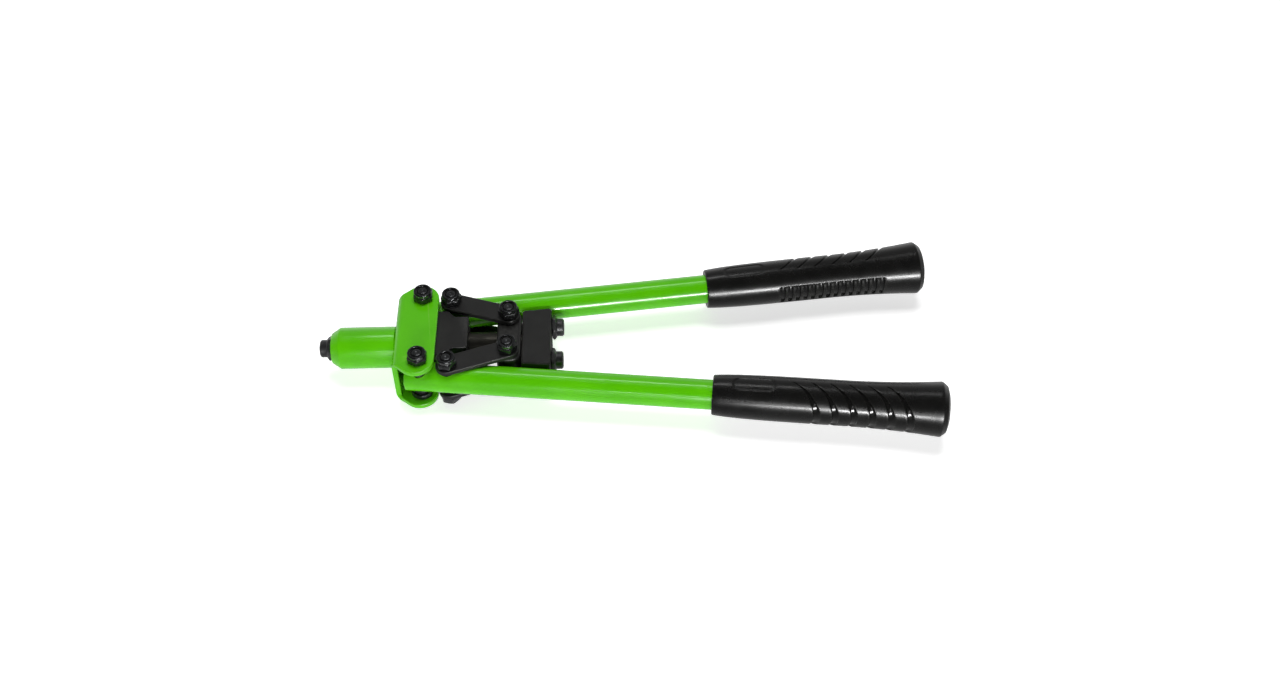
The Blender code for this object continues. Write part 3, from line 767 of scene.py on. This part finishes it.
def grip_radius(along):
    """The sleeve's outer radius: a swelling front, a waist and a flared rear."""
    flare = max(0.0, (along - 68.0) / 51.0)
    return 12.05 - 1.45 * math.exp(-along / 14.0) + 2.5 * flare ** 2


def scoop_fade(off_outer):
    """1 in the middle of a scoop, 0 at its tips."""
    return max(0.0, 1.0 - (abs(off_outer) / SCOOP_TIP) ** 2.2)


def scoop_stations(off_outer):
    """Stations and depths (along, depth) along the grip, at an angle from the outer line."""
    fade = scoop_fade(off_outer)
    width = max(SCOOP_WIDTH * fade, 1.15)
    depth = SCOOP_DEPTH * (0.65 + 0.35 * fade) * smooth_step(SCOOP_TIP - abs(off_outer), -1.0, 2.5)
    part = min(1.0, abs(off_outer) / SCOOP_TIP)
    profile = ((-0.30, 0.0), (-0.06, 0.02), (0.01, 0.10), (0.10, 0.78), (0.16, 0.92),
               (0.30, 0.95), (0.60, 0.98), (0.88, 1.0), (0.94, 0.90), (0.985, 0.20),
               (1.03, 0.02), (1.14, 0.0))
    stations = []
    for index in range(SCOOPS):
        edge = SCOOP_START + SCOOP_PITCH * index - SCOOP_SWEEP * part ** 2.1
        stations += [(edge - width + width * step, depth * share) for step, share in profile]
    return stations


def slot_stations(off_inner):
    """Stations and depths of the short cross slots on the inner side."""
    off = abs(off_inner) / SLOT_TIP
    open_half = SLOT_HALF * math.sqrt(max(0.0, 1.0 - off ** 6)) if off < 1.0 else 0.0
    depth = SLOT_DEPTH if off < 0.97 else 0.0
    half = max(open_half, 0.35)
    profile = ((-1.12, 0.0), (-0.96, 0.12), (-0.82, 0.85), (-0.66, 1.0),
               (0.66, 1.0), (0.82, 0.85), (0.96, 0.12), (1.12, 0.0))
    stations = []
    for index in range(SLOTS):
        centre = SLOT_START + SLOT_PITCH * index
        stations += [(centre + half * step, depth * share) for step, share in profile]
    return stations


def shares(stations, count):
    """How many parts each gap between stations is cut into, so that there are count points."""
    gaps = [after[0] - before[0] for before, after in zip(stations, stations[1:])]
    parts = [1] * len(gaps)
    while sum(parts) < count - 1:
        widths = [gap / part for gap, part in zip(gaps, parts)]
        parts[widths.index(max(widths))] += 1
    return parts


def refine(stations, parts):
    """Fills a list of (along, depth) with even steps, each gap in its number of parts."""
    filled = [stations[0]]
    for before, after, part in zip(stations, stations[1:], parts):
        for step in range(1, part + 1):
            share = step / part
            filled.append((before[0] + (after[0] - before[0]) * share,
                           before[1] + (after[1] - before[1]) * share))
    return filled


def smooth_step(value, low, high):
    part = min(1.0, max(0.0, (value - low) / (high - low)))
    return part * part * (3 - 2 * part)


def panel_depth(along, off_outer):
    """The shallow oval panel on the top and on the underside, near the front."""
    middle, half = (PANEL_START + PANEL_END) / 2, (PANEL_END - PANEL_START) / 2
    across = (abs(off_outer) - 87.0) * math.pi / 180 * 11.8
    beyond = max(0.0, abs(along - middle) - (half - PANEL_HALF))
    edge = PANEL_HALF - math.hypot(beyond, across)
    return PANEL_DEPTH * smooth_step(edge, -0.15, 0.55)


def grip(name, side):
    """A moulded grip: finger scoops outside, cross slots inside, a panel top and bottom."""
    node, place = f"grip_{name}", LEVERS[name]
    low, high = extent(node, place)
    start, length = low.x, high.x - low.x
    tube_low, tube_high = extent(f"lever_tube_{name}", place)
    centre = (tube_low.y + tube_high.y) / 2
    bore, bore_depth, steps = 8.3, 111.5, 192
    detail_start, detail_end, count = 35.5, 109.0, 8 * SLOTS + 20

    def between_ends(stations):
        return [(detail_start, 0.0)] + stations + [(detail_end, 0.0)]
    outer_parts = shares(between_ends(scoop_stations(60.0)), count)
    inner_parts = shares(between_ends(slot_stations(0.0)), count)
    front = rounded([(0.0, bore, 0.3), (0.0, grip_radius(0.0), 0.8),
                     (4.0, grip_radius(4.0), 0)], 6, closed=False)
    plain = [4.0 + (detail_start - 4.0) * step / 64 for step in range(1, 64)]
    shoulder = 118.2
    rear_run = [detail_end + (shoulder - detail_end) * step / 8 for step in range(1, 8)]
    end = rounded([(shoulder, grip_radius(shoulder), 0), (119.2, 14.45, 0.7), (121.9, 12.35, 1.6),
                   (123.05, 8.6, 5.0), (length, 3.0, 0)], 7, closed=False)
    columns = []
    for step in range(steps):
        off_outer = (360.0 * step / steps + 180.0) % 360.0 - 180.0
        off_inner = 180.0 - abs(off_outer)
        outer_list = refine(between_ends(scoop_stations(off_outer)), outer_parts)
        inner_list = refine(between_ends(slot_stations(off_inner)), inner_parts)
        share = smooth_step(abs(off_outer), SCOOP_TIP + 1.0, 180.0 - SLOT_TIP - 4.0)
        column = [(along, radius, 0.0) for along, radius in front]
        for along in plain:
            column.append((along, grip_radius(along) - panel_depth(along, off_outer), 0.0))
        for (one, cut), (other, slot) in zip(outer_list, inner_list):
            along = one + (other - one) * share
            column.append((along, grip_radius(along) - cut - slot, cut / SCOOP_DEPTH))
        column += [(along, grip_radius(along), 0.0) for along in rear_run]
        column += [(along, radius, 0.0) for along, radius in end]
        column += [(length - 0.02, 1.2, 0.0)]
        columns.append(column)
    rows = len(columns[0])
    points, depths = [], []
    for row in range(rows):
        for step in range(steps):
            along, radius, depth = columns[step][row]
            angle = 2 * math.pi * step / steps
            points.append((start + along, centre + side * radius * math.cos(angle),
                           radius * math.sin(angle)))
            depths.append(depth)
    hollow = rounded([(bore_depth, 0.8, 0), (bore_depth, bore, 1.5), (60.0, bore, 0)], 5,
                     closed=False)
    for along, radius in hollow:
        for step in range(steps):
            angle = 2 * math.pi * step / steps
            points.append((start + along, centre + side * radius * math.cos(angle),
                           radius * math.sin(angle)))
    faces = grid_faces(rows, steps)
    faces.append(range((rows - 1) * steps, rows * steps))
    inside = rows * steps
    faces += grid_faces(len(hollow), steps, inside)
    faces.append(range(inside, inside + steps))
    last = inside + (len(hollow) - 1) * steps
    faces += [(step, (step + 1) % steps, last + (step + 1) % steps, last + step)
              for step in range(steps)]
    piece = add_mesh(f"{node}_finish", (points, faces), place, 60.0)
    depths += [0.0] * (len(points) - len(depths))
    piece.data.attributes.new(GROOVE, "FLOAT", "POINT").data.foreach_set("value", depths)
    finish_piece(piece, node, f"lever_{name}", "grip_rubber")


# ---------------------------------------------------------------- links
def link_plates(name):
    place, body = LINKS[name], f"links_{name}"
    for level in ("top", "bottom"):
        node = f"link_plate_{name}_{level}"
        low, high = extent(node, place)
        radius = (high.y - low.y) / 2
        length = high.x - radius
        outline = arc((length, 0), radius, -90, 90, 28) + arc((0, 0), radius, 90, 270, 28)
        holes = [circle((along, 0), BOLT_HOLE, 64, True) for along in (0.0, length)]
        piece = add_mesh(f"{node}_finish", slab(outline, low.z, high.z, 0.5, holes), place)
        finish_piece(piece, node, body, "black_paint")
    fasten("link", name, place, body)
    fasten("crosshead", name, place, body, (length, 0.0))


# ---------------------------------------------------------------- puller
def crosshead():
    """The block between the links: full round edges, and a slot for each crosshead bolt."""
    low, high = extent("crosshead", TOOL)
    corner = 5.4
    outline = rounded([(low.x, low.y, corner), (high.x, low.y, corner),
                       (high.x, high.y, corner), (low.x, high.y, corner)], 12)
    piece = add_mesh("crosshead_finish", slab(outline, low.z, high.z, 1.5, steps=6), TOOL)
    drill(piece, TOOL, PULL_TUBE_HOLE, low.x - 2, high.x + 2, "X")
    bolt_low, bolt_high = extent("crosshead_bolt_far", TOOL)
    bolt_x, bolt_y = (bolt_low.x + bolt_high.x) / 2, (bolt_low.y + bolt_high.y) / 2
    free, radius = 1.25, 3.6
    for _, side in SIDES:
        slot = arc((bolt_x + free, side * bolt_y), radius, -90, 90, 16)
        slot += arc((bolt_x - free, side * bolt_y), radius, 90, 270, 16)
        combine(piece, slab(slot, low.z - 2, high.z + 2, 0.1), TOOL, "DIFFERENCE")
    finish_piece(piece, "crosshead", "puller", "black_paint")


def nose_holder():
    """The rear block, rounded towards the levers, with a bore for the tube and two spares."""
    low, high = extent("nose_holder", TOOL)
    points = node_points("nose_holder", TOOL)
    rear_half = high.y
    front_half = max(point.y for point in points if point.x < low.x + 1.0) + 0.1
    outline = rounded([(low.x, -front_half, 1.5), (high.x, -rear_half, 1.7),
                       (high.x, rear_half, 1.7), (low.x, front_half, 1.5)], 8)
    radii = [0.5 + 0.7 * smooth_step(abs(y), front_half - 2.4, front_half - 0.9) for x, y in outline]
    piece = add_mesh("nose_holder_finish", slab(outline, low.z, high.z, radii, steps=6), TOOL)
    tube_hole, spare_depth = 5.8, 7.4
    drill(piece, TOOL, tube_hole, low.x - 2, high.x + 2, "X")
    for name, _ in SIDES:
        spare_low, spare_high = extent(f"nosepiece_spare_{name}", TOOL)
        across = (spare_low.y + spare_high.y) / 2
        drill(piece, TOOL, NOSE_THREAD, high.x - spare_depth, high.x + 2, "X", (across, 0.0))
        nosepiece(f"nosepiece_spare_{name}", "puller", True, (across, 0.0))
    finish_piece(piece, "nose_holder", "puller", "black_paint")


def pull_tube():
    """The hollow rod: neck, ground body and the spigot that the holder screws on."""
    low, high = extent("pull_tube", TOOL)
    neck_end, step = -15.9, 53.0
    profile = rounded([(low.x, 5.3, 0.2), (low.x, 6.5, 0.5), (neck_end, 6.5, 0.2),
                       (neck_end, high.z, 0.4), (step, high.z, 0.4), (step, 5.5, 0.2),
                       (high.x, 5.5, 0.5), (high.x, 4.0, 0.4), (-9.2, 4.0, 0.2),
                       (-9.2, 5.3, 0.2)], 5)
    piece = add_mesh("pull_tube_finish", turned(profile), TOOL, TURNED_SHARP)
    finish_piece(piece, "pull_tube", "puller", "oiled_steel")


def hidden_nodes():
    """The CAD nodes that stay as they are, each with its finished material."""
    kept = {node: "bright_steel" for node in (
        "jaw_case", "jaw_spring", "jaw_a", "jaw_b", "jaw_c", "jaw_pusher")}
    for name, _ in SIDES:
        kept[f"pivot_bush_{name}"] = kept[f"link_bush_{name}"] = "black_oxide"
    for node, look in kept.items():
        for slot in frame["nodes"][node].material_slots:
            slot.material = LOOKS[look]


# ---------------------------------------------------------------- studio
def camera():
    """The camera above the near side, looking down along the tool's middle."""
    lens, sensor = 44.61, 36.0
    azimuth, elevation, roll = -0.52, 47.6, -0.86
    place = Vector((0.00076, -0.57926, 0.65344))
    data = bpy.data.cameras.new("camera")
    data.lens, data.sensor_width = lens, sensor
    data.clip_start, data.clip_end = 0.02, 50.0
    view = bpy.data.objects.new("camera", data)
    turn = (Matrix.Rotation(math.radians(azimuth), 4, "Z")
            @ Matrix.Rotation(math.radians(90.0 - elevation), 4, "X")
            @ Matrix.Rotation(math.radians(roll), 4, "Z"))
    view.matrix_world = Matrix.Translation(place) @ turn
    bpy.context.scene.collection.objects.link(view)
    bpy.context.scene.camera = view


def area_light(name, off_zenith, distance, length, width, power, middle, purpose):
    """A light over the tool, off_zenith degrees towards the camera side, facing the tool.
    A glow lights the tool without showing in its glossy surfaces, and a streak only shows
    in them."""
    turn = math.radians(off_zenith)
    data = bpy.data.lights.new(name, "AREA")
    data.shape = "RECTANGLE"
    data.size, data.size_y = length, width
    data.energy = power
    light = bpy.data.objects.new(name, data)
    light.location = (middle, -distance * math.sin(turn), distance * math.cos(turn))
    light.rotation_euler = (turn, 0.0, 0.0)
    light.visible_glossy = purpose != "glow"
    light.visible_diffuse = purpose != "streak"
    bpy.context.scene.collection.objects.link(light)


def floor():
    half, drop = 3.0, -0.0002
    points = [(-half, -half, drop), (half, -half, drop), (half, half, drop), (-half, half, drop)]
    ground = add_mesh("floor", (points, [(0, 1, 2, 3)]), Matrix.Identity(4))
    material, tree, shader, where = new_look("floor_white")
    shade_of = spread(tree, noise(tree, where, 300.0), (0.0, 1.0))
    colour = blend_colours(tree, shade_of, (0.88, 0.88, 0.88), (0.90, 0.90, 0.90))
    tree.links.new(colour, shader.inputs["Base Color"])
    shader.inputs["Roughness"].default_value = 0.9
    shader.inputs["Specular IOR Level"].default_value = 0.1
    shader.inputs["Emission Color"].default_value = (1.0, 1.0, 1.0, 1.0)
    shader.inputs["Emission Strength"].default_value = 0.68
    ground.data.materials.append(material)
    ground.visible_glossy = False


# Brightness of the walls by degrees off the zenith, positive towards the camera side.
WALLS = ((-180, 0.5), (-120, 0.7), (-90, 0.9), (-60, 0.32), (-45, 0.23), (-32, 0.17), (-20, 0.05),
         (0, 0.012), (55, 0.012), (78, 0.03), (92, 0.22), (110, 0.12), (118, 0.2), (147, 0.4),
         (180, 0.5))


def surroundings():
    """The studio round the tool's long axis: a bright rear horizon that fades to a dark
    ceiling, and a dim camera side."""
    world = bpy.data.worlds.new("studio")
    bpy.context.scene.world = world
    world.use_nodes = True
    tree = world.node_tree
    direction = tree.nodes.new("ShaderNodeTexCoord").outputs["Generated"]
    parts = tree.nodes.new("ShaderNodeSeparateXYZ")
    tree.links.new(direction, parts.inputs["Vector"])
    turn = tree.nodes.new("ShaderNodeMath")
    turn.operation = "ARCTAN2"
    tree.links.new(parts.outputs["Y"], turn.inputs[0])
    tree.links.new(parts.outputs["Z"], turn.inputs[1])
    ramp = tree.nodes.new("ShaderNodeValToRGB")
    tree.links.new(spread(tree, turn.outputs["Value"], (0.0, 1.0), (math.pi, -math.pi)),
                   ramp.inputs["Fac"])
    elements = ramp.color_ramp.elements
    elements[0].position, elements[-1].position = 0.0, 1.0
    for off_zenith, _ in WALLS[1:-1]:
        elements.new((off_zenith + 180.0) / 360.0)
    for element, (_, grey) in zip(elements, WALLS):
        element.color = (grey, grey, grey, 1.0)
    tree.links.new(ramp.outputs["Color"], tree.nodes["Background"].inputs["Color"])


def studio():
    surroundings()
    floor()
    area_light("strip_back", -22.0, 1.2, 0.46, 0.10, 1.1, -0.05, "streak")
    area_light("strip_front", 65.0, 1.25, 0.34, 0.06, 0.6, -0.08, "streak")
    area_light("strip_far_grip", 80.0, 1.25, 0.46, 0.18, 16.0, 0.53, "streak")
    area_light("strip_near_grip", 80.0, 1.25, 0.26, 0.10, 9.0, 0.10, "streak")
    area_light("key_front", 73.0, 1.3, 0.8, 0.16, 8.0, -0.10, "glow")
    area_light("fill_above", -10.0, 1.5, 0.9, 0.7, 16.0, 0.0, "glow")
    bpy.context.scene.view_settings.view_transform = "Standard"


# ---------------------------------------------------------------- the whole tool
camera()
head()
for lever, lever_side in SIDES:
    lever_tube(lever)
    grip(lever, lever_side)
    link_plates(lever)
crosshead()
nose_holder()
pull_tube()
hidden_nodes()
studio()
